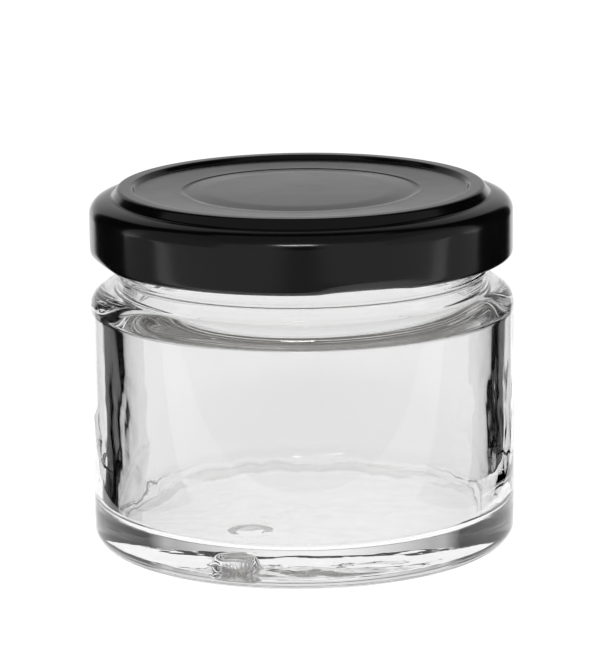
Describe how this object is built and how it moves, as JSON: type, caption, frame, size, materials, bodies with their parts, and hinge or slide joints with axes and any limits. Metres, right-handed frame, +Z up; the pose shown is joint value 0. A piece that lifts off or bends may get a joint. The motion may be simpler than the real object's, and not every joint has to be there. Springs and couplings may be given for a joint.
{
  "type": "glass jar with twist-off lid",
  "caption": "Squat round clear glass jar with a thick base and a black stamped metal twist-off lid that screws off on short thread leads; holds a small portion of food.",
  "frame": {"origin": "centre of the base, on the surface that the jar stands on", "axes": "+Z up along the jar's axis, -Y towards the side that faces the camera in the picture, +X to its right"},
  "size_m": [0.0614, 0.0614, 0.0522],
  "materials": {
    "clear_glass": "clear moulded soda-lime glass",
    "seal": "soft flowed-in seal, satin",
    "black_lacquer": "black lacquer on tinplate, semi-gloss"
  },
  "bodies": {
    "jar": {"glass_jar": "clear_glass"},
    "lid_seal": {"sealing_ring": "seal"},
    "lid": {"lid_shell": "black_lacquer"}
  },
  "joints": [
    {"name": "lid_rise", "type": "slide", "parent": "jar", "child": "lid_seal", "axis": [0, 0, 1], "range_m": [0, 0.014]},
    {"name": "lid_twist", "type": "hinge", "parent": "lid_seal", "child": "lid", "pos_m": [0, 0, 0.0422], "axis": [0, 0, 1], "range_deg": [0, 360]}
  ],
  "couplings": [
    {"joint": "lid_rise", "follows": "lid_twist", "m_per_rad": 0.0022282}
  ]
}
